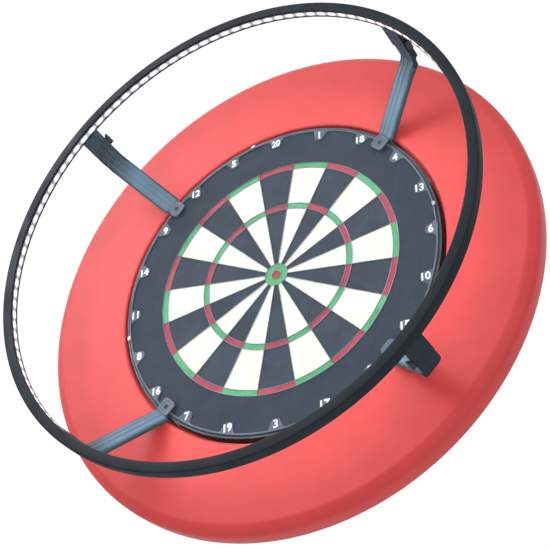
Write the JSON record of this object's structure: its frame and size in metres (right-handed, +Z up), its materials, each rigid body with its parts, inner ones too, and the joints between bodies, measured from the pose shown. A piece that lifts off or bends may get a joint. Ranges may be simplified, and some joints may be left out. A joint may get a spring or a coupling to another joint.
{
  "type": "dartboard",
  "caption": "Bristle dartboard with a wire spider and turning number ring, a thick foam surround, and a ring light standing in front of it on clip-on legs, hung on a wall bracket.",
  "frame": {"origin": "on the bull's axis, at the back face of the wall bracket", "axes": "+Z up, the playing face towards -Y, +Y into the wall, +X to the right as the thrower sees it"},
  "size_m": [0.692, 0.1902, 0.692],
  "materials": {
    "sisal": "matte end-grain fibre, dyed by bed",
    "fibreboard": "pressed board, matte",
    "band_black": "satin black",
    "spider_wire": "bright wire",
    "number_white": "satin",
    "clip_steel": "spring steel",
    "fixing_steel": "zinc plated",
    "bracket_black": "powder coat",
    "rubber": "matte",
    "surround_foam": "smooth-skinned foam",
    "ring_plastic": "satin black",
    "leg_plastic": "satin blue-grey",
    "catch_plastic": "satin",
    "led_strip": "lit strip",
    "light_cover": "clear, lit"
  },
  "bodies": {
    "wall_bracket": {"wall_bracket": "bracket_black"},
    "board": {"sisal_face": "sisal", "back_board": "fibreboard", "steel_band": "band_black", "fixing_plate": "fixing_steel", "hanging_screw": "fixing_steel", "spider": "spider_wire", "rear_bumper_1": "rubber", "rear_bumper_2": "rubber", "rear_bumper_3": "rubber", "number_ring_clip_1": "clip_steel", "number_ring_clip_2": "clip_steel", "number_ring_clip_3": "clip_steel", "number_ring_clip_4": "clip_steel"},
    "number_ring": {"number_ring": "number_white"},
    "surround": {"surround": "surround_foam"},
    "light_legs": {"leg_1": "leg_plastic", "leg_2": "leg_plastic", "leg_3": "leg_plastic", "leg_4": "leg_plastic", "foot_cap_1": "leg_plastic", "foot_cap_2": "leg_plastic", "foot_cap_3": "leg_plastic", "foot_cap_4": "leg_plastic", "foot_screw_1": "fixing_steel", "foot_screw_2": "fixing_steel", "foot_screw_3": "fixing_steel", "foot_screw_4": "fixing_steel", "rim_grip_1": "rubber", "rim_grip_2": "rubber", "rim_grip_3": "rubber", "rim_grip_4": "rubber"},
    "light_ring": {"ring_segment_1": "ring_plastic", "ring_segment_2": "ring_plastic", "ring_segment_3": "ring_plastic", "ring_segment_4": "ring_plastic", "led_strip_1": "led_strip", "led_strip_2": "led_strip", "led_strip_3": "led_strip", "led_strip_4": "led_strip", "light_cover_1": "light_cover", "light_cover_2": "light_cover", "light_cover_3": "light_cover", "light_cover_4": "light_cover", "ring_joiner_1": "ring_plastic", "ring_joiner_2": "ring_plastic", "ring_joiner_3": "ring_plastic", "ring_joiner_4": "ring_plastic", "socket_1": "ring_plastic", "socket_2": "ring_plastic", "socket_3": "ring_plastic", "socket_4": "ring_plastic", "dc_inlet": "ring_plastic"},
    "catch_1": {"catch_1": "catch_plastic"},
    "catch_2": {"catch_2": "catch_plastic"},
    "catch_3": {"catch_3": "catch_plastic"},
    "catch_4": {"catch_4": "catch_plastic"}
  },
  "joints": [
    {"name": "board_lift", "type": "slide", "parent": "wall_bracket", "child": "board", "axis": [0, 0, 1], "range_m": [0, 0.03]},
    {"name": "number_ring_turn", "type": "hinge", "parent": "board", "child": "number_ring", "pos_m": [0, -0.052, 0], "axis": [0, 1, 0], "continuous": true},
    {"name": "surround_slide", "type": "slide", "parent": "board", "child": "surround", "axis": [0, 1, 0], "range_m": [0, 0.016]},
    {"name": "light_pull_off", "type": "slide", "parent": "board", "child": "light_legs", "axis": [0, -1, 0], "range_m": [0, 0.12]},
    {"name": "ring_unplug", "type": "slide", "parent": "light_legs", "child": "light_ring", "axis": [0, -1, 0], "range_m": [0, 0.035]},
    {"name": "catch_1_press", "type": "slide", "parent": "light_ring", "child": "catch_1", "axis": [-0.7071, 0, 0.7071], "range_m": [0, 0.0025], "stiffness_N_per_m": 300},
    {"name": "catch_2_press", "type": "slide", "parent": "light_ring", "child": "catch_2", "axis": [-0.7071, 0, -0.7071], "range_m": [0, 0.0025], "stiffness_N_per_m": 300},
    {"name": "catch_3_press", "type": "slide", "parent": "light_ring", "child": "catch_3", "axis": [0.7071, 0, -0.7071], "range_m": [0, 0.0025], "stiffness_N_per_m": 300},
    {"name": "catch_4_press", "type": "slide", "parent": "light_ring", "child": "catch_4", "axis": [0.7071, 0, 0.7071], "range_m": [0, 0.0025], "stiffness_N_per_m": 300}
  ]
}
